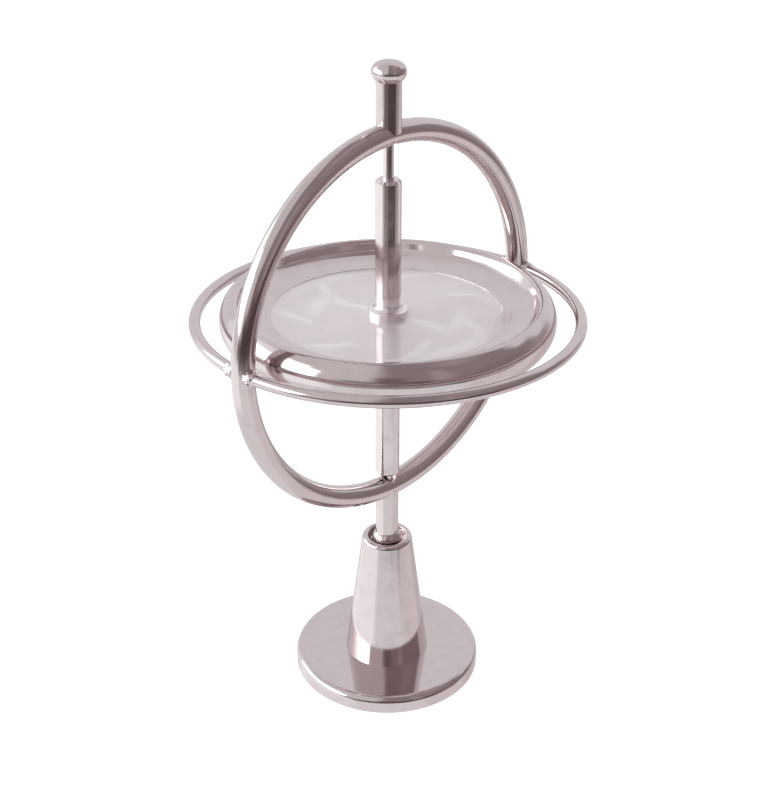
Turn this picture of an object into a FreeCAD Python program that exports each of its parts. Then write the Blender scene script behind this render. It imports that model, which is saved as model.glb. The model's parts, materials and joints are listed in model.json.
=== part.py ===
import FreeCAD, Part
import math
import os
import re
import Sketcher

# Toy gyroscope on its stand.  A flywheel on a pointed axle spins inside a double-ring frame, and the
# frame's ball foot rests in the cup of a small pedestal.  The frame leans, as it does while precessing.
# Millimetres and degrees.  Stand parts are drawn from the centre of the base's underside.  Gyroscope
# parts are drawn from the centre of the frame ring, with Z along the spin axis and the ring in XZ, and
# are then leaned as one.  Sizes called a distance run along the spin axis from that centre.

SIZES = [
    # stand
    ("base_diameter", 31.3, "round base plate"),
    ("base_thickness", 3.05, ""),
    ("base_edge_round", 1.1, "round on the base's top edge"),
    ("base_edge_break", 0.2, "chamfer on the base's bottom edge"),
    ("pedestal_height", 22.95, "base top to the lip of the cup"),
    ("pedestal_foot_diameter", 14.05, ""),
    ("pedestal_lip_diameter", 8.45, ""),
    ("cup_mouth_diameter", 6.3, "inside the lip"),
    ("cup_dish_diameter", 5.6, "rim of the spherical dish"),
    ("cup_depth", 2.1, "lip to the lowest point of the dish"),
    ("lip_outer_round", 0.65, "round on the lip's outer edge, in line with the cone"),
    ("lip_inner_round", 0.3, ""),
    ("foot_seat_clearance", 0.03, "between the ball foot and the dish"),
    ("screw_diameter", 3.0, "countersunk screw that holds the pedestal on the base"),
    ("screw_length", 9.0, "whole screw"),
    ("screw_head_diameter", 5.5, ""),
    ("screw_head_recess", 0.2, "head below the base's underside"),
    ("screw_hole_clearance", 0.1, "round the shank in the base"),
    ("screw_slot_width", 0.7, ""),
    ("screw_slot_depth", 0.6, ""),
    ("screw_tip_chamfer", 0.4, ""),
    ("screw_tip_room", 0.6, "hole left past the screw's tip"),
    # lean of the gyroscope
    ("lean_angle", 4.8, "spin axis from the vertical"),
    ("lean_heading", 44.8, "direction of the lean, from +X towards +Y"),
    # frame
    ("frame_ring_diameter", 65.0, "outside of the upright ring"),
    ("frame_rod_diameter", 3.74, ""),
    ("guard_ring_offset", 0.23, "flat ring's circle outside the upright ring's"),
    ("guard_rod_diameter", 1.96, ""),
    ("braze_diameter", 2.8, "round bead where a guard rod meets the frame rod"),
    ("braze_sink", 0.15, "bead's centre below the frame rod's surface"),
    ("upper_post_diameter", 4.1, ""),
    ("lower_post_diameter", 3.8, ""),
    ("post_length", 6.7, "post proud of the upright ring"),
    ("post_skirt_height", 0.37, "edge of the saddle above the middle of the frame rod"),
    ("spigot_diameter", 2.9, "post through the ring"),
    ("spigot_recess", 0.75, "spigot's end inside the frame rod"),
    ("spigot_bore_clearance", 0.07, "round the axle"),
    ("bearing_diameter", 2.2, ""),
    ("bearing_length", 2.0, ""),
    ("bearing_recess", 0.5, "bearing's face inside the spigot"),
    ("knob_stud_length", 3.0, ""),
    ("upper_knob_height", 3.2, "knob proud of its post"),
    ("foot_knob_height", 2.95, ""),
    ("knob_ball_radius", 4.5, "dome of both knobs"),
    ("knob_shoulder_radius", 1.6, ""),
    ("upper_knob_diameter", 5.58, ""),
    ("foot_knob_diameter", 5.0, ""),
    ("knob_neck_step", 0.06, "knob's neck proud of its post"),
    # rotor
    ("rim_gap", 2.86, "flywheel to the flat ring"),
    ("rim_width", 8.22, ""),
    ("rim_outer_radius", 4.13, "broad outer round of the rim's section"),
    ("rim_ridge_radius", 1.0, "tighter round at the rim's crest"),
    ("rim_ridge_angle", 50.0, "where the broad round meets the tight one"),
    ("rim_wall_angle", 61.0, "wall inside the crest, from the web's plane"),
    ("rim_wall_length", 0.88, ""),
    ("rim_hollow_radius", 1.7, "hollow at the wall's foot"),
    ("rim_dish_radius", 14.0, "shallow dish from the hollow to the inner edge"),
    ("rim_inner_step", 0.08, "rim proud of the web at its inner edge"),
    ("web_thickness", 0.9, "disc pressed into the rim"),
    ("web_seat_depth", 0.5, "groove in the rim for the disc"),
    ("wheel_offset", 0.15, "flywheel above the frame's centre"),
    ("hub_flange_diameter", 6.5, "collars above and below the web"),
    ("hub_flange_thickness", 1.0, ""),
    ("hub_edge_round", 0.3, "round on the flange's edge"),
    ("hub_height", 3.15, "flange and neck"),
    ("hub_neck_diameter", 3.95, ""),
    ("hub_neck_fillet", 0.95, "neck to flange"),
    ("axle_diameter", 1.75, ""),
    ("axle_tip_length", 0.9, ""),
    ("axle_tip_reach", 0.5, "points inside their bearings"),
    ("axle_tip_clearance", 0.05, "point to the bottom of its bearing"),
    ("upper_sleeve_diameter", 4.2, ""),
    ("upper_sleeve_gap", 5.36, "sleeve's end to the upright ring"),
    ("lower_sleeve_diameter", 4.0, ""),
    ("lower_sleeve_gap", 0.6, ""),
    ("sleeve_end_chamfer", 0.42, ""),
    ("cord_hole_diameter", 1.2, "for the starting cord, through the upper sleeve"),
    ("cord_hole_from_end", 10.4, "below the sleeve's end"),
    ("cord_hole_heading", 134.8, "direction of the hole, from +X towards +Y"),
]

DERIVED = [
    ("lip_height", "base_thickness + pedestal_height"),
    ("lip_round_x", "pedestal_lip_diameter / 2 - lip_outer_round"),
    ("lip_round_z", "lip_height - lip_outer_round"),
    ("cone_run", "pedestal_foot_diameter / 2 - lip_round_x"),
    ("cone_rise", "pedestal_height - lip_outer_round"),
    ("cone_angle", "atan(cone_rise / cone_run)"
                   " + asin(lip_outer_round / sqrt(cone_run ^ 2 + cone_rise ^ 2))"),
    ("dish_radius", "knob_ball_radius + foot_seat_clearance"),
    ("ball_height", "lip_height - cup_depth + dish_radius"),
    ("dish_rim_height", "ball_height - sqrt(dish_radius ^ 2 - cup_dish_diameter ^ 2 / 4)"),
    ("screw_head_top", "screw_head_recess + (screw_head_diameter - screw_diameter) / 2"),
    ("screw_end_height", "screw_head_recess + screw_length"),
    ("hole_radius", "screw_diameter / 2 + screw_hole_clearance"),
    ("frame_circle_radius", "(frame_ring_diameter - frame_rod_diameter) / 2"),
    ("frame_inner_radius", "frame_ring_diameter / 2 - frame_rod_diameter"),
    ("guard_circle_radius", "frame_circle_radius + guard_ring_offset"),
    ("post_end_distance", "frame_ring_diameter / 2 + post_length"),
    ("post_skirt_distance", "frame_circle_radius + post_skirt_height"),
    ("spigot_end_distance", "frame_inner_radius + spigot_recess"),
    ("bearing_distance", "spigot_end_distance + bearing_recess"),
    ("axle_tip_distance", "bearing_distance + axle_tip_reach"),
    ("ball_distance", "post_end_distance + foot_knob_height - knob_ball_radius"),
    ("centre_x", "ball_distance * sin(lean_angle) * cos(lean_heading)"),
    ("centre_y", "ball_distance * sin(lean_angle) * sin(lean_heading)"),
    ("centre_z", "ball_height + ball_distance * cos(lean_angle)"),
    ("bore_radius", "axle_diameter / 2 + spigot_bore_clearance"),
    ("socket_depth", "axle_tip_reach + axle_tip_clearance"),
    ("socket_radius", "socket_depth * axle_diameter / 2 / axle_tip_length"),
    ("rim_radius", "guard_circle_radius - guard_rod_diameter / 2 - rim_gap"),
    ("section_x", "rim_radius - rim_outer_radius"),
    ("ridge_arm", "rim_outer_radius - rim_ridge_radius"),
    ("ridge_x", "section_x + ridge_arm * cos(rim_ridge_angle)"),
    ("ridge_z", "ridge_arm * sin(rim_ridge_angle)"),
    ("inner_radius", "rim_radius - rim_width"),
    ("inner_height", "web_thickness / 2 + rim_inner_step"),
    ("crest_x", "ridge_x - rim_ridge_radius * sin(rim_wall_angle)"),
    ("crest_z", "ridge_z + rim_ridge_radius * cos(rim_wall_angle)"),
    ("wall_foot_x", "crest_x - rim_wall_length * cos(rim_wall_angle)"),
    ("wall_foot_z", "crest_z - rim_wall_length * sin(rim_wall_angle)"),
    ("hollow_x", "wall_foot_x - rim_hollow_radius * sin(rim_wall_angle)"),
    ("hollow_z", "wall_foot_z + rim_hollow_radius * cos(rim_wall_angle)"),
    ("hollow_reach", "sqrt((hollow_x - inner_radius) ^ 2 + (hollow_z - inner_height) ^ 2)"),
    ("dish_arm", "rim_dish_radius - rim_hollow_radius"),
    ("dish_bearing", "atan((hollow_z - inner_height) / (hollow_x - inner_radius))"
                     " + acos((hollow_reach ^ 2 + rim_dish_radius ^ 2 - dish_arm ^ 2)"
                     " / (2 * hollow_reach * rim_dish_radius))"),
    ("dish_x", "inner_radius + rim_dish_radius * cos(dish_bearing)"),
    ("dish_z", "inner_height + rim_dish_radius * sin(dish_bearing)"),
    ("dish_end_x", "hollow_x + rim_hollow_radius * (hollow_x - dish_x) / dish_arm"),
    ("dish_end_z", "hollow_z + rim_hollow_radius * (hollow_z - dish_z) / dish_arm"),
    ("shoulder_x", "section_x + rim_outer_radius * cos(rim_ridge_angle)"),
    ("shoulder_z", "rim_outer_radius * sin(rim_ridge_angle)"),
    ("upper_sleeve_distance", "frame_inner_radius - upper_sleeve_gap"),
    ("lower_sleeve_distance", "frame_inner_radius - lower_sleeve_gap"),
    ("cord_hole_distance", "upper_sleeve_distance - cord_hole_from_end"),
    ("upper_hub_base", "wheel_offset + web_thickness / 2"),
    ("lower_hub_base", "web_thickness / 2 - wheel_offset"),
]

doc = FreeCAD.newDocument("gyroscope")
sheet = doc.addObject("Spreadsheet::Sheet", "Sizes")
for row, (alias, content, *note) in enumerate(SIZES + DERIVED, start=1):
    sheet.set(f"A{row}", alias)
    sheet.set(f"B{row}", str(content) if note else "=" + content)
    sheet.set(f"C{row}", note[0] if note else "")
    sheet.setAlias(f"B{row}", alias)
doc.recompute()


def linked(formula):
    """The formula with each size name pointing at the sheet."""
    return re.sub(r"\b([a-z]+(?:_[a-z]+)+)\b", r"Sizes.\1", str(formula))


def value(formula):
    """The formula's number, in millimetres or degrees."""
    result = sheet.evalExpression(linked(formula))
    return float(getattr(result, "Value", result))


LEANED = ("placement(vector(centre_x; centre_y; centre_z);"
          " rotation(vector(-sin(lean_heading); cos(lean_heading); 0); lean_angle))")
LEANED_AND_TURNED_OVER = LEANED + " * placement(vector(0; 0; 0); rotation(vector(1; 0; 0); 180))"

nodes = []


def finish_node(obj, name, placement=None):
    """Names the sub-part, leans it if it belongs to the gyroscope, and lists it for export."""
    obj.Label = name
    if placement:
        obj.setExpression("Placement", linked(placement))
    nodes.append(obj)


def new_body(name, placement=None):
    body = doc.addObject("PartDesign::Body", name)
    finish_node(body, name, placement)
    return body


def attach(feature, body, plane):
    """Puts a sketch or a primitive on one of its own body's origin planes."""
    feature.AttachmentSupport = [(next(o for o in body.Origin.OriginFeatures if o.Role == plane), "")]
    feature.MapMode = "FlatFace"


def pin(sketch, index, end, x, y):
    """Dimensions one point from the sketch's origin; 0 puts it on an axis."""
    for kind, formula, axis in (("DistanceX", x, -2), ("DistanceY", y, -1)):
        if formula == "0":
            sketch.addConstraint(Sketcher.Constraint("PointOnObject", index, end, axis))
        else:
            at = sketch.addConstraint(Sketcher.Constraint(kind, -1, 1, index, end, value(formula)))
            sketch.setExpression(f"Constraints[{at}]", linked(formula))


def outline(body, name, sides, plane="XZ_Plane"):
    """Closed sketch.  Each side is (x, y) or (x, y, radius): its start, and a radius if it is an arc.

    A positive radius has its centre to the left of the way along, a negative one to the right."""
    sketch = body.newObject("Sketcher::SketchObject", name)
    attach(sketch, body, plane)
    starts = [FreeCAD.Vector(value(side[0]), value(side[1]), 0) for side in sides]
    ends = starts[1:] + starts[:1]
    tips = []
    for index, (side, start, end) in enumerate(zip(sides, starts, ends)):
        if len(side) == 2:
            sketch.addGeometry(Part.LineSegment(start, end))
            tips.append((1, 2))
            continue
        radius = value(side[2])
        chord = end - start
        left = FreeCAD.Vector(-chord.y, chord.x, 0).normalize()
        reach = math.sqrt(max(radius ** 2 - chord.Length ** 2 / 4, 0))
        centre = (start + end) / 2 + left * math.copysign(reach, radius)
        first, last = (start, end) if radius > 0 else (end, start)
        angles = [math.atan2(point.y - centre.y, point.x - centre.x) for point in (first, last)]
        circle = Part.Circle(centre, FreeCAD.Vector(0, 0, 1), abs(radius))
        sketch.addGeometry(Part.ArcOfCircle(circle, *angles))
        tips.append((1, 2) if radius > 0 else (2, 1))
        at = sketch.addConstraint(Sketcher.Constraint("Radius", index, abs(radius)))
        sketch.setExpression(f"Constraints[{at}]", linked(f"abs({side[2]})"))
    for index, side in enumerate(sides):
        after = (index + 1) % len(sides)
        joined = Sketcher.Constraint("Coincident", index, tips[index][1], after, tips[after][0])
        sketch.addConstraint(joined)
        pin(sketch, index, tips[index][0], side[0], side[1])
    return sketch


def turned(body, kind, sketch):
    """Revolution or Groove of a sketch about its own vertical axis, which is the body's Z."""
    feature = body.newObject("PartDesign::" + kind, f"{body.Name}_{kind.lower()}")
    feature.Profile = sketch
    feature.ReferenceAxis = (sketch, ["V_Axis"])
    feature.Angle = 360
    return feature


def turned_body(name, sides, placement=None):
    body = new_body(name, placement)
    turned(body, "Revolution", outline(body, name + "_profile", sides))
    return body


def hoop(body, plane, circle_radius, rod_radius, sweep):
    """Round rod swept about the plane's vertical axis."""
    sketch = body.newObject("Sketcher::SketchObject", body.Name + "_section")
    attach(sketch, body, plane)
    centre = FreeCAD.Vector(value(circle_radius), 0, 0)
    sketch.addGeometry(Part.Circle(centre, FreeCAD.Vector(0, 0, 1), value(rod_radius)))
    pin(sketch, 0, 3, circle_radius, "0")
    at = sketch.addConstraint(Sketcher.Constraint("Radius", 0, value(rod_radius)))
    sketch.setExpression(f"Constraints[{at}]", linked(rod_radius))
    turned(body, "Revolution", sketch).Angle = sweep


def primitive(body, kind, plane, sizes, offset=None):
    """PartDesign primitive on one of the body's origin planes, with sizes given as formulas."""
    feature = doc.addObject("PartDesign::" + kind, f"{body.Name}_{kind.lower()}")
    body.addObject(feature)
    attach(feature, body, plane)
    for key, formula in sizes.items():
        feature.setExpression(key, linked(formula))
    if offset:
        feature.setExpression("AttachmentOffset", linked(offset))
    return feature


FRAME_TORUS = {"Radius1": "frame_circle_radius", "Radius2": "frame_rod_diameter / 2"}

# ---------------------------------------------------------------- stand

turned_body("base_plate", [
    ("screw_head_diameter / 2", "0"),
    ("base_diameter / 2 - base_edge_break", "0"),
    ("base_diameter / 2", "base_edge_break"),
    ("base_diameter / 2", "base_thickness - base_edge_round", "base_edge_round"),
    ("base_diameter / 2 - base_edge_round", "base_thickness"),
    ("hole_radius", "base_thickness"),
    ("hole_radius", "screw_head_top - screw_hole_clearance"),
    ("screw_head_diameter / 2", "screw_head_recess"),
])

turned_body("pedestal", [
    ("screw_diameter / 2", "base_thickness"),
    ("pedestal_foot_diameter / 2", "base_thickness"),
    ("lip_round_x + lip_outer_round * sin(cone_angle)",
     "lip_round_z + lip_outer_round * cos(cone_angle)", "lip_outer_round"),
    ("lip_round_x", "lip_height"),
    ("cup_mouth_diameter / 2 + lip_inner_round", "lip_height", "lip_inner_round"),
    ("cup_mouth_diameter / 2", "lip_height - lip_inner_round"),
    ("cup_dish_diameter / 2", "dish_rim_height", "-dish_radius"),
    ("0", "ball_height - dish_radius"),
    ("0", "screw_end_height + screw_tip_room"),
    ("screw_diameter / 2", "screw_end_height"),
])

screw = turned_body("pedestal_screw", [
    ("0", "screw_head_recess"),
    ("screw_head_diameter / 2", "screw_head_recess"),
    ("screw_diameter / 2", "screw_head_top"),
    ("screw_diameter / 2", "screw_end_height - screw_tip_chamfer"),
    ("screw_diameter / 2 - screw_tip_chamfer", "screw_end_height"),
    ("0", "screw_end_height"),
])
primitive(screw, "SubtractiveBox", "XY_Plane",
          {"Length": "screw_head_diameter", "Width": "screw_slot_width", "Height": "screw_slot_depth"},
          "placement(vector(-screw_head_diameter / 2; -screw_slot_width / 2; screw_head_recess);"
          " rotation(vector(0; 0; 1); 0))")

# ---------------------------------------------------------------- frame

frame_ring = new_body("frame_ring", LEANED)
hoop(frame_ring, "XY_Plane", "frame_circle_radius", "frame_rod_diameter / 2", 360)
primitive(frame_ring, "SubtractiveCylinder", "XY_Plane",
          {"Radius": "spigot_diameter / 2", "Height": "frame_ring_diameter"},
          "placement(vector(0; 0; -frame_ring_diameter / 2); rotation(vector(0; 0; 1); 0))")

for side, reverse in (("back", False), ("front", True)):
    guard = new_body("guard_ring_" + side, LEANED)
    hoop(guard, "XZ_Plane", "guard_circle_radius", "guard_rod_diameter / 2", 180)
    guard.Tip.Reversed = reverse
    primitive(guard, "SubtractiveTorus", "XZ_Plane", FRAME_TORUS)

beads = []
for corner, along, across in (("a", 1, 1), ("b", -1, 1), ("c", -1, -1), ("d", 1, -1)):
    bead = doc.addObject("Part::Sphere", "braze_bead_" + corner)
    bead.setExpression("Radius", linked("braze_diameter / 2"))
    bead.setExpression("Placement.Base.x", linked(f"{along} * guard_circle_radius"))
    bead.setExpression("Placement.Base.y", linked(f"{across} * (frame_rod_diameter / 2 - braze_sink)"))
    beads.append(bead)
all_beads = doc.addObject("Part::MultiFuse", "braze_blanks")
all_beads.Shapes = beads
braze = all_beads
for ring, normal in (("frame", FreeCAD.Vector(0, -1, 0)), ("guard", FreeCAD.Vector(0, 0, 1))):
    rod = doc.addObject("Part::Torus", ring + "_rod_cutter")
    rod.setExpression("Radius1", linked(ring + "_circle_radius"))
    rod.setExpression("Radius2", linked(ring + "_rod_diameter / 2"))
    rod.Placement.Rotation = FreeCAD.Rotation(FreeCAD.Vector(0, 0, 1), normal)
    cut = doc.addObject("Part::Cut", "braze_clear_of_" + ring)
    cut.Base = braze
    cut.Tool = rod
    braze = cut
finish_node(braze, "braze_beads", LEANED)

for level, knob_name, placement in (("upper", "upper_knob", LEANED),
                                    ("lower", "foot_knob", LEANED_AND_TURNED_OVER)):
    post_radius = f"{level}_post_diameter / 2"
    post = turned_body(level + "_post", [
        ("0", "post_skirt_distance"),
        (post_radius, "post_skirt_distance"),
        (post_radius, "post_end_distance"),
        ("0", "post_end_distance"),
    ], placement)
    primitive(post, "SubtractiveTorus", "XZ_Plane", FRAME_TORUS)
    primitive(post, "AdditiveCylinder", "XY_Plane",
              {"Radius": "spigot_diameter / 2", "Height": "post_end_distance - spigot_end_distance"},
              "placement(vector(0; 0; spigot_end_distance); rotation(vector(0; 0; 1); 0))")
    turned(post, "Groove", outline(post, post.Name + "_bore", [
        ("0", "spigot_end_distance"),
        ("bore_radius", "spigot_end_distance"),
        ("bore_radius", "bearing_distance"),
        ("bearing_diameter / 2", "bearing_distance"),
        ("bearing_diameter / 2", "post_end_distance"),
        ("0", "post_end_distance"),
    ]))

    turned_body(level + "_bearing", [
        ("0", "bearing_distance + socket_depth"),
        ("socket_radius", "bearing_distance"),
        ("bearing_diameter / 2", "bearing_distance"),
        ("bearing_diameter / 2", "bearing_distance + bearing_length"),
        ("0", "bearing_distance + bearing_length"),
    ], placement)

    # The shoulder's round touches the dome from inside and is upright where the knob is widest.
    knob_radius = f"({knob_name}_diameter / 2)"
    neck_radius = f"({post_radius} + knob_neck_step)"
    dome_centre = f"(post_end_distance + {knob_name}_height - knob_ball_radius)"
    arm = "(knob_ball_radius - knob_shoulder_radius)"
    shoulder_centre = f"({knob_radius} - knob_shoulder_radius)"
    rise = f"sqrt({arm} ^ 2 - {shoulder_centre} ^ 2)"
    widest = f"({dome_centre} + {rise})"
    tuck = f"({widest} - post_end_distance)"
    narrowing = f"({knob_radius} - {neck_radius})"
    turned_body(knob_name, [
        ("0", "post_end_distance - knob_stud_length"),
        ("bearing_diameter / 2", "post_end_distance - knob_stud_length"),
        ("bearing_diameter / 2", "post_end_distance"),
        (neck_radius, "post_end_distance", f"({narrowing} ^ 2 + {tuck} ^ 2) / (2 * {narrowing})"),
        (knob_radius, widest, "knob_shoulder_radius"),
        (f"knob_ball_radius * {shoulder_centre} / {arm}",
         f"{dome_centre} + knob_ball_radius * {rise} / {arm}", "knob_ball_radius"),
        ("0", f"{dome_centre} + knob_ball_radius"),
    ], placement)

# ---------------------------------------------------------------- rotor

turned_body("flywheel_rim", [
    ("inner_radius", "wheel_offset - inner_height", "-rim_dish_radius"),
    ("dish_end_x", "wheel_offset - dish_end_z", "-rim_hollow_radius"),
    ("wall_foot_x", "wheel_offset - wall_foot_z"),
    ("crest_x", "wheel_offset - crest_z", "rim_ridge_radius"),
    ("shoulder_x", "wheel_offset - shoulder_z", "rim_outer_radius"),
    ("shoulder_x", "wheel_offset + shoulder_z", "rim_ridge_radius"),
    ("crest_x", "wheel_offset + crest_z"),
    ("wall_foot_x", "wheel_offset + wall_foot_z", "-rim_hollow_radius"),
    ("dish_end_x", "wheel_offset + dish_end_z", "-rim_dish_radius"),
    ("inner_radius", "wheel_offset + inner_height"),
    ("inner_radius", "wheel_offset + web_thickness / 2"),
    ("inner_radius + web_seat_depth", "wheel_offset + web_thickness / 2"),
    ("inner_radius + web_seat_depth", "wheel_offset - web_thickness / 2"),
    ("inner_radius", "wheel_offset - web_thickness / 2"),
], LEANED)

turned_body("web_disc", [
    ("axle_diameter / 2", "wheel_offset - web_thickness / 2"),
    ("inner_radius + web_seat_depth", "wheel_offset - web_thickness / 2"),
    ("inner_radius + web_seat_depth", "wheel_offset + web_thickness / 2"),
    ("axle_diameter / 2", "wheel_offset + web_thickness / 2"),
], LEANED)

axle = turned_body("axle", [
    ("0", "-axle_tip_distance"),
    ("axle_diameter / 2", "axle_tip_length - axle_tip_distance"),
    ("axle_diameter / 2", "axle_tip_distance - axle_tip_length"),
    ("0", "axle_tip_distance"),
], LEANED)

sleeves = {}
for level, placement in (("upper", LEANED), ("lower", LEANED_AND_TURNED_OVER)):
    hub_base = level + "_hub_base"
    flange_top = hub_base + " + hub_flange_thickness"
    hub_end = hub_base + " + hub_height"
    turned_body(level + "_hub_collar", [
        ("axle_diameter / 2", hub_base),
        ("hub_flange_diameter / 2", hub_base),
        ("hub_flange_diameter / 2", f"{flange_top} - hub_edge_round", "hub_edge_round"),
        ("hub_flange_diameter / 2 - hub_edge_round", flange_top),
        ("hub_neck_diameter / 2 + hub_neck_fillet", flange_top, "-hub_neck_fillet"),
        ("hub_neck_diameter / 2", f"{flange_top} + hub_neck_fillet"),
        ("hub_neck_diameter / 2", hub_end),
        ("axle_diameter / 2", hub_end),
    ], placement)
    sleeve_radius = f"{level}_sleeve_diameter / 2"
    sleeve_end = level + "_sleeve_distance"
    sleeves[level] = turned_body(level + "_sleeve", [
        ("axle_diameter / 2", hub_end),
        (sleeve_radius, hub_end),
        (sleeve_radius, f"{sleeve_end} - sleeve_end_chamfer"),
        (f"{sleeve_radius} - sleeve_end_chamfer", sleeve_end),
        ("axle_diameter / 2", sleeve_end),
    ], placement)

# The cord hole crosses the upper sleeve and the axle inside it.
for body in (axle, sleeves["upper"]):
    primitive(body, "SubtractiveCylinder", "XY_Plane",
              {"Radius": "cord_hole_diameter / 2", "Height": "2 * upper_sleeve_diameter"},
              "placement(vector(0; 0; cord_hole_distance);"
              " rotation(vector(-sin(cord_hole_heading); cos(cord_hole_heading); 0); 90))"
              " * placement(vector(0; 0; -upper_sleeve_diameter); rotation(vector(0; 0; 1); 0))")

# ---------------------------------------------------------------- checks and export

doc.recompute()
for obj in doc.Objects:
    if {"Invalid", "Error"} & set(obj.State):
        raise RuntimeError(f"{obj.Name} did not build: {obj.State}")
    if hasattr(obj, "FullyConstrained") and not obj.FullyConstrained:
        raise RuntimeError(f"{obj.Name} is not fully constrained")
for node in nodes:
    if node.Shape.isNull() or not node.Shape.isValid():
        raise RuntimeError(f"{node.Label} has no valid shape")

os.makedirs("parts", exist_ok=True)
for node in nodes:
    node.Shape.exportStep(f"parts/{node.Label}.step")
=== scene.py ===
import json
import math
import bmesh
import bpy
from mathutils import Matrix, Vector, noise


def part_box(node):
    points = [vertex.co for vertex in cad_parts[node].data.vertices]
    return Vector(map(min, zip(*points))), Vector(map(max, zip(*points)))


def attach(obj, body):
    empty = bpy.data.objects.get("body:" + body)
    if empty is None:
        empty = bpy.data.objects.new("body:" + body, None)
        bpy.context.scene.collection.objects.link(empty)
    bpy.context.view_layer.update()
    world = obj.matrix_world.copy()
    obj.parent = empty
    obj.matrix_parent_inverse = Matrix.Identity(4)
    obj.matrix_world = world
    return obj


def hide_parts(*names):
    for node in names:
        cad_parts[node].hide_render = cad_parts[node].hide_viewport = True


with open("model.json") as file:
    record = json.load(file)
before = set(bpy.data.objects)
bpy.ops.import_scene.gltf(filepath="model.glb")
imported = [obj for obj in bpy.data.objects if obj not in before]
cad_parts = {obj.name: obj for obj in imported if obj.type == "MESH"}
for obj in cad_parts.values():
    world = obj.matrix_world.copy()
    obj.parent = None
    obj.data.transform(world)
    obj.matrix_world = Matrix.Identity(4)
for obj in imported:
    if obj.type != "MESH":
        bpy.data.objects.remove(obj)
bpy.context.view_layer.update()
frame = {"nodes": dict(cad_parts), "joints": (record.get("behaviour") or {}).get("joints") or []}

# Chromed toy gyroscope, leaning on its pedestal, on white paper.  Metres; angles in degrees.

scene = bpy.context.scene
nodes = frame["nodes"]

# ---------------------------------------------------------------- camera

CAMERA_AIM = Vector((-0.00288, -0.00154, 0.05541))
CAMERA_AZIMUTH = -44.46
CAMERA_ELEVATION = 30.77
CAMERA_DISTANCE = 0.32345
CAMERA_ROLL = 0.09
CAMERA_CLIPS = (0.01, 50)
LENS_MM = 92.46
SENSOR_MM = 36


def towards(azimuth, elevation):
    """Unit vector from the object: azimuth 0 is -Y and 90 is +X, elevation is above the horizon."""
    a, e = math.radians(azimuth), math.radians(elevation)
    return Vector((math.sin(a) * math.cos(e), -math.cos(a) * math.cos(e), math.sin(e)))


def add_camera():
    data = bpy.data.cameras.new("camera")
    data.lens = LENS_MM
    data.sensor_width = SENSOR_MM
    data.clip_start, data.clip_end = CAMERA_CLIPS
    camera = bpy.data.objects.new("camera", data)
    scene.collection.objects.link(camera)
    back = towards(CAMERA_AZIMUTH, CAMERA_ELEVATION)
    camera.location = CAMERA_AIM + back * CAMERA_DISTANCE
    camera.rotation_mode = "QUATERNION"
    upright = (-back).to_track_quat("-Z", "Y")
    roll = Matrix.Rotation(math.radians(CAMERA_ROLL), 4, "Z").to_quaternion()
    camera.rotation_quaternion = upright @ roll
    scene.camera = camera


# ---------------------------------------------------------------- shader trees

# Positions of the mix node's sockets when it mixes colours.
MIX_SHARE, MIX_FIRST, MIX_SECOND, MIX_RESULT = 0, 6, 7, 2


class Tree:
    """Adds shader nodes and links them, so that a material reads as a few lines."""

    def __init__(self, tree):
        self.tree = tree
        tree.nodes.clear()

    def node(self, kind, settings=None, **inputs):
        made = self.tree.nodes.new(kind)
        for key, content in (settings or {}).items():
            setattr(made, key, content)
        for key, content in inputs.items():
            self.put(made, key, content)
        return made

    def put(self, node, key, content):
        """Sets an input, named by its label or as i0, i1 and so on, to a value or a node's output."""
        if key[0] == "i" and key[1:].isdigit():
            socket = node.inputs[int(key[1:])]
        else:
            socket = node.inputs[key.replace("_", " ")]
        if isinstance(content, bpy.types.NodeSocket):
            self.tree.links.new(content, socket)
        else:
            socket.default_value = content

    def math(self, operation, *terms, clamp=False):
        settings = {"operation": operation, "use_clamp": clamp}
        inputs = {f"i{k}": term for k, term in enumerate(terms)}
        return self.node("ShaderNodeMath", settings, **inputs).outputs[0]

    def vector_math(self, operation, *terms):
        inputs = {f"i{k}": term for k, term in enumerate(terms)}
        return self.node("ShaderNodeVectorMath", {"operation": operation}, **inputs).outputs["Value"]

    def ramp(self, x, low, high):
        """Smooth step from 0 at low to 1 at high."""
        settings = {"interpolation_type": "SMOOTHSTEP"}
        return self.node("ShaderNodeMapRange", settings, Value=x, From_Min=low, From_Max=high,
                         To_Min=0.0, To_Max=1.0).outputs[0]

    def mix(self, share, first, second):
        made = self.node("ShaderNodeMix", {"data_type": "RGBA"})
        for key, content in ((MIX_SHARE, share), (MIX_FIRST, first), (MIX_SECOND, second)):
            if isinstance(content, tuple):
                content = (*content, 1.0)
            self.put(made, f"i{key}", content)
        return made.outputs[MIX_RESULT]

    def swells(self, place, scale, detail):
        """Noise round 0.5; scale counts its swells to the metre."""
        return self.node("ShaderNodeTexNoise", Vector=place, Scale=scale, Detail=detail).outputs["Fac"]

    def relief(self, height, distance, **below):
        return self.node("ShaderNodeBump", Height=height, Distance=distance, **below).outputs[0]


def new_material(name):
    material = bpy.data.materials.new(name)
    material.use_nodes = True
    return material, Tree(material.node_tree)


# ---------------------------------------------------------------- surroundings

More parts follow.
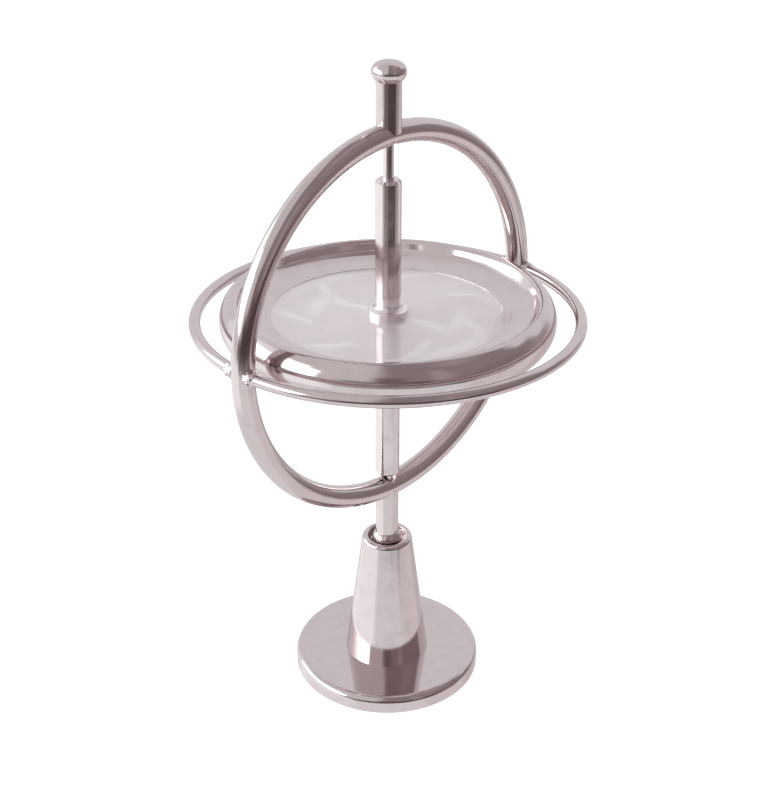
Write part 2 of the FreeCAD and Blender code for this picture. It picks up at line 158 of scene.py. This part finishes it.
# Light that the chrome mirrors, as linear red, green, blue.
WINDOW = (3.65, 3.92, 3.92)
CURTAIN = (1.00, 1.03, 1.03)
BRIGHT_PAPER = (1.16, 1.20, 1.20)
PAPER = (0.88, 0.90, 0.90)
TURNED_PAPER = (0.82, 0.78, 0.79)
GREY_PAPER = (0.67, 0.62, 0.63)
STREAK = (1.04, 1.09, 1.09)
HORIZON = (0.84, 0.82, 0.83)
WALL = (0.80, 0.80, 0.81)
CEILING = (0.71, 0.70, 0.70)
PANEL = (0.41, 0.35, 0.36)
SHADED_WALL = (0.32, 0.27, 0.28)
SIDE_WALL = (0.28, 0.225, 0.23)
DIM_WALL = (0.22, 0.174, 0.174)
DARK = (0.094, 0.066, 0.067)

# Azimuth from the camera to its right and elevation; half width and half height; softness of the
# sides and of the top and bottom; colour.  A later patch lies over an earlier one.
SURROUNDINGS = [
    (90, 76, 95, 16, 20, 8, SHADED_WALL),
    (56, 39, 62, 51, 9, 4, SHADED_WALL),
    (92, 62, 36, 12, 14, 7, PANEL),
    (177, 18, 56, 30, 3, 8, WALL),
    (113, 31, 8, 7, 5, 4, WALL),
    (122, 0, 12, 9, 9, 5, PANEL),
    (78, 2, 20, 16, 10, 8, SIDE_WALL),
    (37, 20, 7, 25, 3, 5, PANEL),
    (-128, 20, 9, 20, 4, 6, CURTAIN),
    (-102, 34, 22, 6, 4, 3, CURTAIN),
    (-85, 14, 36, 14, 3, 2, WINDOW),
    (-72, 31, 12, 4, 4, 3, WINDOW),
    (-92, -9, 40, 8, 5, 2, HORIZON),
    (-84, -11, 12, 4, 6, 3, GREY_PAPER),
    (-122, -4, 9, 5, 5, 3, CURTAIN),
    (-34, -11, 22, 9, 5, 3, DIM_WALL),
    (15, -12, 26, 9, 8, 3, DARK),
    (46, -11, 20, 12, 8, 3, DARK),
    (-1, -2, 29, 10, 8, 5, DARK),
    (2, 14, 11, 14, 7, 5, DIM_WALL),
    (90, -12, 26, 5, 10, 4, SIDE_WALL),
    (0, -56, 180, 36, 2, 2, PAPER),
    (105, -56, 50, 33, 10, 3, TURNED_PAPER),
    (84, -29, 22, 9, 6, 2, TURNED_PAPER),
    (76, -20, 14, 2.4, 4, 2, PANEL),
    (-14, -28, 26, 9, 5, 2, PAPER),
    (50, -19, 8, 3, 5, 2, DARK),
    (160, -36, 42, 20, 10, 8, GREY_PAPER),
    (-92, -27, 52, 12, 10, 4, BRIGHT_PAPER),
    (-60, -25, 18, 10, 5, 3, BRIGHT_PAPER),
    (180, -28, 14, 3, 6, 3, STREAK),
]

WHITE = (1, 1, 1, 1)
FLOOR_HALF_SIZE = 2.0
FLOOR_COLOUR = (0.9, 0.9, 0.9, 1)
FLOOR_ROUGHNESS = 0.9
FLOOR_GLOW = 0.75


def set_surroundings():
    """Mirrors see the patches of light; the camera sees plain white behind the object."""
    world = bpy.data.worlds.new("surroundings")
    scene.world = world
    world.use_nodes = True
    t = Tree(world.node_tree)
    direction = t.node("ShaderNodeTexCoord").outputs["Generated"]
    turned = t.node("ShaderNodeVectorRotate", {"rotation_type": "Z_AXIS"}, Vector=direction,
                    Angle=-math.radians(CAMERA_AZIMUTH)).outputs[0]
    split = t.node("ShaderNodeSeparateXYZ", i0=turned).outputs
    azimuth = t.math("ARCTAN2", split["X"], t.math("MULTIPLY", split["Y"], -1.0))
    elevation = t.math("ARCSINE", split["Z"])
    colour = CEILING
    for patch_azimuth, patch_elevation, width, height, soft, fading, light in SURROUNDINGS:
        away = t.math("SUBTRACT", azimuth, math.radians(patch_azimuth))
        away = t.math("ABSOLUTE", t.math("WRAP", away, math.pi, -math.pi))
        above = t.math("ABSOLUTE", t.math("SUBTRACT", elevation, math.radians(patch_elevation)))
        across = t.ramp(away, math.radians(width + soft), math.radians(width - soft))
        along = t.ramp(above, math.radians(height + fading), math.radians(height - fading))
        colour = t.mix(t.math("MULTIPLY", across, along), colour, light)
    mirrored = t.node("ShaderNodeBackground", Color=colour).outputs[0]
    plain = t.node("ShaderNodeBackground", Color=WHITE).outputs[0]
    seen = t.node("ShaderNodeLightPath").outputs["Is Camera Ray"]
    shown = t.node("ShaderNodeMixShader", i0=seen, i1=mirrored, i2=plain).outputs[0]
    t.node("ShaderNodeOutputWorld", Surface=shown)


def add_floor():
    mesh = bpy.data.meshes.new("floor")
    corners = [(x * FLOOR_HALF_SIZE, y * FLOOR_HALF_SIZE, 0) for x, y in ((-1, -1), (1, -1), (1, 1), (-1, 1))]
    mesh.from_pydata(corners, [], [(0, 1, 2, 3)])
    floor = bpy.data.objects.new("floor", mesh)
    scene.collection.objects.link(floor)
    material, t = new_material("floor_paper")
    paper = t.node("ShaderNodeBsdfPrincipled", Base_Color=FLOOR_COLOUR, Roughness=FLOOR_ROUGHNESS,
                   Emission_Color=WHITE, Emission_Strength=FLOOR_GLOW)
    t.node("ShaderNodeOutputMaterial", Surface=paper.outputs[0])
    mesh.materials.append(material)
    floor.visible_glossy = False


# ---------------------------------------------------------------- polished metals

# Spots dulled by handling, and edges brightened by wear.  Roughness and tint are shares of the metal's.
HANDLED_SCALE, HANDLED_DETAIL = 400.0, 5.0
HANDLED_RANGE = (0.42, 0.72)
EDGE_REACH, EDGE_SAMPLES = 0.00025, 4
EDGE_RANGE = (0.995, 0.9)
EDGE_SHARE = 0.6
CLEAN_ROUGHNESS, HANDLED_ROUGHNESS, WORN_ROUGHNESS = 0.9, 0.35, 0.5
HANDLED_TINT, WORN_TINT = 0.95, 1.08
WAVE_DETAIL, GRAIN_DETAIL = 2.0, 3.0

CHROME = (0.69, 0.604, 0.61)
NICKEL = (0.76, 0.685, 0.69)
BRIGHT_NICKEL = (0.92, 0.85, 0.86)
BRASS = (0.83, 0.60, 0.25)
STEEL = (0.58, 0.55, 0.54)

# Colour; roughness; size and height of the slow waves; size and height of the grain.
METALS = {
    "stand_chrome": (CHROME, 0.06, 0.007, 4e-6, 0.0006, 4e-7),
    "pedestal_chrome": (CHROME, 0.11, 0.005, 5e-6, 0.0005, 6e-7),
    "frame_chrome": (CHROME, 0.13, 0.004, 9e-6, 0.0005, 1e-6),
    "knob_chrome": (CHROME, 0.09, 0.0013, 1.6e-5, 0.0004, 1.5e-6),
    "rotor_chrome": (NICKEL, 0.13, 0.003, 5e-6, 0.0005, 7e-7),
    "rim_chrome": (CHROME, 0.10, 0.005, 9e-6, 0.0006, 6e-7),
    "collar_nickel": (BRIGHT_NICKEL, 0.26, 0.002, 5e-6, 0.0004, 1e-6),
    "braze": (CHROME, 0.16, 0.001, 1e-5, 0.0003, 4e-6),
    "bearing_brass": (BRASS, 0.2, 0.002, 5e-6, 0.0003, 1e-6),
    "zinc_steel": (STEEL, 0.3, 0.002, 5e-6, 0.0003, 1e-6),
}

# Nodes whose metal isn't named after their slot.
NODE_METALS = {
    "pedestal": "pedestal_chrome",
    "upper_knob": "knob_chrome",
    "foot_knob": "knob_chrome",
    "flywheel_rim": "rim_chrome",
    "upper_hub_collar": "collar_nickel",
    "lower_hub_collar": "collar_nickel",
}


def mirror(t, tint, roughness, bump):
    shader = t.node("ShaderNodeBsdfPrincipled", Base_Color=tint, Metallic=1.0, Roughness=roughness,
                    Normal=bump)
    t.node("ShaderNodeOutputMaterial", Surface=shader.outputs[0])


def metal(name, colour, roughness, wave, wave_height, grain, grain_height):
    """Mirror metal: slow waves left by polishing, fine grain, handled spots and worn edges."""
    material, t = new_material(name)
    place = t.node("ShaderNodeTexCoord").outputs["Object"]
    waves = t.swells(place, 1 / wave, WAVE_DETAIL)
    fine = t.swells(place, 1 / grain, GRAIN_DETAIL)
    bump = t.relief(fine, grain_height, Normal=t.relief(waves, wave_height))
    dull = t.ramp(t.swells(place, HANDLED_SCALE, HANDLED_DETAIL), *HANDLED_RANGE)
    rounded = t.node("ShaderNodeBevel", {"samples": EDGE_SAMPLES}, Radius=EDGE_REACH).outputs[0]
    smooth = t.node("ShaderNodeNewGeometry").outputs["Normal"]
    worn = t.ramp(t.vector_math("DOT_PRODUCT", rounded, smooth), *EDGE_RANGE)
    spread = t.math("MULTIPLY_ADD", dull, roughness * HANDLED_ROUGHNESS, roughness * CLEAN_ROUGHNESS)
    spread = t.math("MULTIPLY_ADD", worn, roughness * WORN_ROUGHNESS, spread)
    tint = t.mix(dull, colour, tuple(HANDLED_TINT * part for part in colour))
    tint = t.mix(t.math("MULTIPLY", worn, EDGE_SHARE), tint, tuple(WORN_TINT * part for part in colour))
    mirror(t, tint, spread, bump)
    return material


# ---------------------------------------------------------------- buffed web with painted highlights

WEB_LOW, WEB_HIGH = (Vector(corner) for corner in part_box("web_disc"))
ROTOR_CENTRE = (WEB_LOW + WEB_HIGH) / 2
SPIN_AXIS = Vector(next(joint for joint in frame["joints"] if joint["name"] == "rotor_spin")["axis"])

# Each stroke is a low ridge of relief with a clearer polish, and is also painted paler as a highlight streak.
# Bearing of one stroke; how far it sweeps round on the way out; half width; inner and outer radius;
# number of strokes round the hub.
BUFFING_AND_HIGHLIGHTS = [
    (104, -2, 14, 0.003, 0.0105, 2),
    (150, -20, 9, 0.0125, 0.0175, 7),
    (122, 0, 34, 0.0108, 0.0128, 2),
    (-95, 0, 40, 0.0162, 0.0178, 2),
]
STROKE_WANDER = 0.35
STROKE_INNER_FADE, STROKE_OUTER_FADE = 0.001, 0.002
WEB_DRIFT_SCALE, WEB_DRIFT_DETAIL = 180.0, 2.0
WEB_WAVE_SCALE, WEB_WAVE_DETAIL = 110.0, 1.0
WEB_SPECK_SCALE, WEB_SPECK_DETAIL = 15000.0, 1.0
WEB_RELIEF = 3e-5
CLOUD_CONTRAST, CLOUD_LEVEL = 0.6, 0.1
SPECK_LEVEL, STROKE_SPECK_LEVEL = 0.42, -0.12
CLEAR_ROUGHNESS, HAZE_ROUGHNESS = 0.08, 0.52
# The web's own tint, and the paler tint that paints the highlight streaks and gives the drift cloud its
# random tone.
WEB_DULL, WEB_PALE_AND_HIGHLIGHT = (0.89, 0.83, 0.84), (1.0, 0.97, 0.98)


def buffed_and_highlighted_web(name):
    """A mirror under a fine haze of rough specks, with buffing marks about the hub: low ridges with a clearer
    polish, also tinted paler as painted highlight streaks.
    """
    material, t = new_material(name)
    place = t.node("ShaderNodeTexCoord").outputs["Object"]
    turn = Vector((0, 0, 1)).rotation_difference(SPIN_AXIS).to_euler()
    local = t.node("ShaderNodeMapping", {"vector_type": "TEXTURE"}, Vector=place, Location=ROTOR_CENTRE,
                   Rotation=turn).outputs[0]
    split = t.node("ShaderNodeSeparateXYZ", i0=local).outputs
    radius = t.vector_math("LENGTH", local)
    angle = t.math("ARCTAN2", split["Y"], split["X"])
    drift = t.math("SUBTRACT", t.swells(place, WEB_DRIFT_SCALE, WEB_DRIFT_DETAIL), 0.5)

    def mark(bearing, reach, half_width, inner, outer, copies):
        twist = math.radians(reach) / (outer - inner)
        swept = t.math("MULTIPLY_ADD", radius, -twist, angle)
        swept = t.math("MULTIPLY_ADD", drift, STROKE_WANDER, swept)
        swept = t.math("SUBTRACT", swept, math.radians(bearing) - twist * inner)
        swept = t.math("WRAP", swept, math.pi / copies, -math.pi / copies)
        stroke = t.ramp(t.math("ABSOLUTE", swept), math.radians(half_width), 0.0)
        begins = t.ramp(radius, inner - STROKE_INNER_FADE, inner + STROKE_INNER_FADE)
        ends = t.ramp(radius, outer + STROKE_OUTER_FADE, outer - STROKE_OUTER_FADE)
        return t.math("MULTIPLY", stroke, t.math("MULTIPLY", begins, ends))

    strokes = mark(*BUFFING_AND_HIGHLIGHTS[0])
    for stroke in BUFFING_AND_HIGHLIGHTS[1:]:
        strokes = t.math("MAXIMUM", strokes, mark(*stroke))
    waves = t.swells(place, WEB_WAVE_SCALE, WEB_WAVE_DETAIL)
    bump = t.relief(strokes, WEB_RELIEF, Normal=t.relief(waves, WEB_RELIEF))
    specks = t.swells(place, WEB_SPECK_SCALE, WEB_SPECK_DETAIL)
    level = t.math("MULTIPLY_ADD", strokes, STROKE_SPECK_LEVEL, SPECK_LEVEL)
    hazy = t.math("GREATER_THAN", specks, level)
    spread = t.math("MULTIPLY_ADD", hazy, HAZE_ROUGHNESS, CLEAR_ROUGHNESS)
    cloud = t.math("MULTIPLY_ADD", drift, CLOUD_CONTRAST, CLOUD_LEVEL)
    # Painted highlight: the tint goes paler along the strokes; the drift cloud adds random tone.
    tint = t.mix(t.math("ADD", strokes, cloud, clamp=True), WEB_DULL, WEB_PALE_AND_HIGHLIGHT)
    mirror(t, tint, spread, bump)
    return material


FINISHES = {name: metal(name, *surface) for name, surface in METALS.items()}
FINISHES["web_chrome"] = buffed_and_highlighted_web("web_chrome")


def finish_nodes():
    for name, node in nodes.items():
        for slot in node.material_slots:
            slot_name = slot.material.name.split(".")[0]
            slot.material = FINISHES[NODE_METALS.get(name, slot_name)]


# ---------------------------------------------------------------- braze

# Shares of a bead's radius, and counts to the millimetre.
BEAD_BODY = 0.88
CREASE_RISE, CREASE_WIDTH, CREASES_PER_MM = 0.22, 0.5, 1.1
SWELL_RISE, SWELLS_PER_MM = 0.10, 0.9
DRAWN_OUT = 0.30
BEAD_SUBDIVISIONS = 5
WELD = 1e-6
MM_PER_METRE = 1000


def islands(mesh):
    """The separate solids of a mesh, each as the middle of its box and its greatest half size."""
    solid = bmesh.new()
    solid.from_mesh(mesh)
    bmesh.ops.remove_doubles(solid, verts=solid.verts, dist=WELD)
    left, found = set(solid.verts), []
    while left:
        group, edge = set(), [left.pop()]
        while edge:
            vert = edge.pop()
            group.add(vert)
            joined = {other for link in vert.link_edges for other in link.verts} & left
            left -= joined
            edge += joined
        low = Vector(min(vert.co[k] for vert in group) for k in range(3))
        high = Vector(max(vert.co[k] for vert in group) for k in range(3))
        found.append(((low + high) / 2, max(high - low) / 2))
    solid.free()
    return sorted(found, key=lambda bead: tuple(bead[0]))


def crumpled_beads():
    """Braze beads as they set: lumps with creases, drawn out a little along the guard rod."""
    beads = islands(nodes["braze_beads"].data)
    lumps = bmesh.new()
    for middle, radius in beads:
        others = [other for other, _ in beads if other != middle]
        twin = min(others, key=lambda other: (other - middle).length)
        outward = (middle - twin).normalized()
        made = bmesh.ops.create_icosphere(lumps, subdivisions=BEAD_SUBDIVISIONS, radius=1.0)["verts"]
        for vert in made:
            way = vert.co.normalized()
            spot = (middle + way * radius) * MM_PER_METRE
            near, next_near = noise.voronoi(spot * CREASES_PER_MM)[0][:2]
            crease = CREASE_RISE * min(next_near - near, CREASE_WIDTH)
            swell = SWELL_RISE * noise.noise(spot * SWELLS_PER_MM)
            reach = way * radius * (BEAD_BODY + crease + swell)
            along = max(reach.dot(outward), 0)
            vert.co = middle + reach + outward * (DRAWN_OUT * along)
    mesh = bpy.data.meshes.new("crumpled_beads")
    lumps.to_mesh(mesh)
    lumps.free()
    for face in mesh.polygons:
        face.use_smooth = True
    mesh.materials.append(FINISHES["braze"])
    piece = bpy.data.objects.new("crumpled_beads", mesh)
    scene.collection.objects.link(piece)
    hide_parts("braze_beads")
    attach(piece, "frame")


add_camera()
set_surroundings()
add_floor()
finish_nodes()
crumpled_beads()

scene.view_settings.view_transform = "Standard"
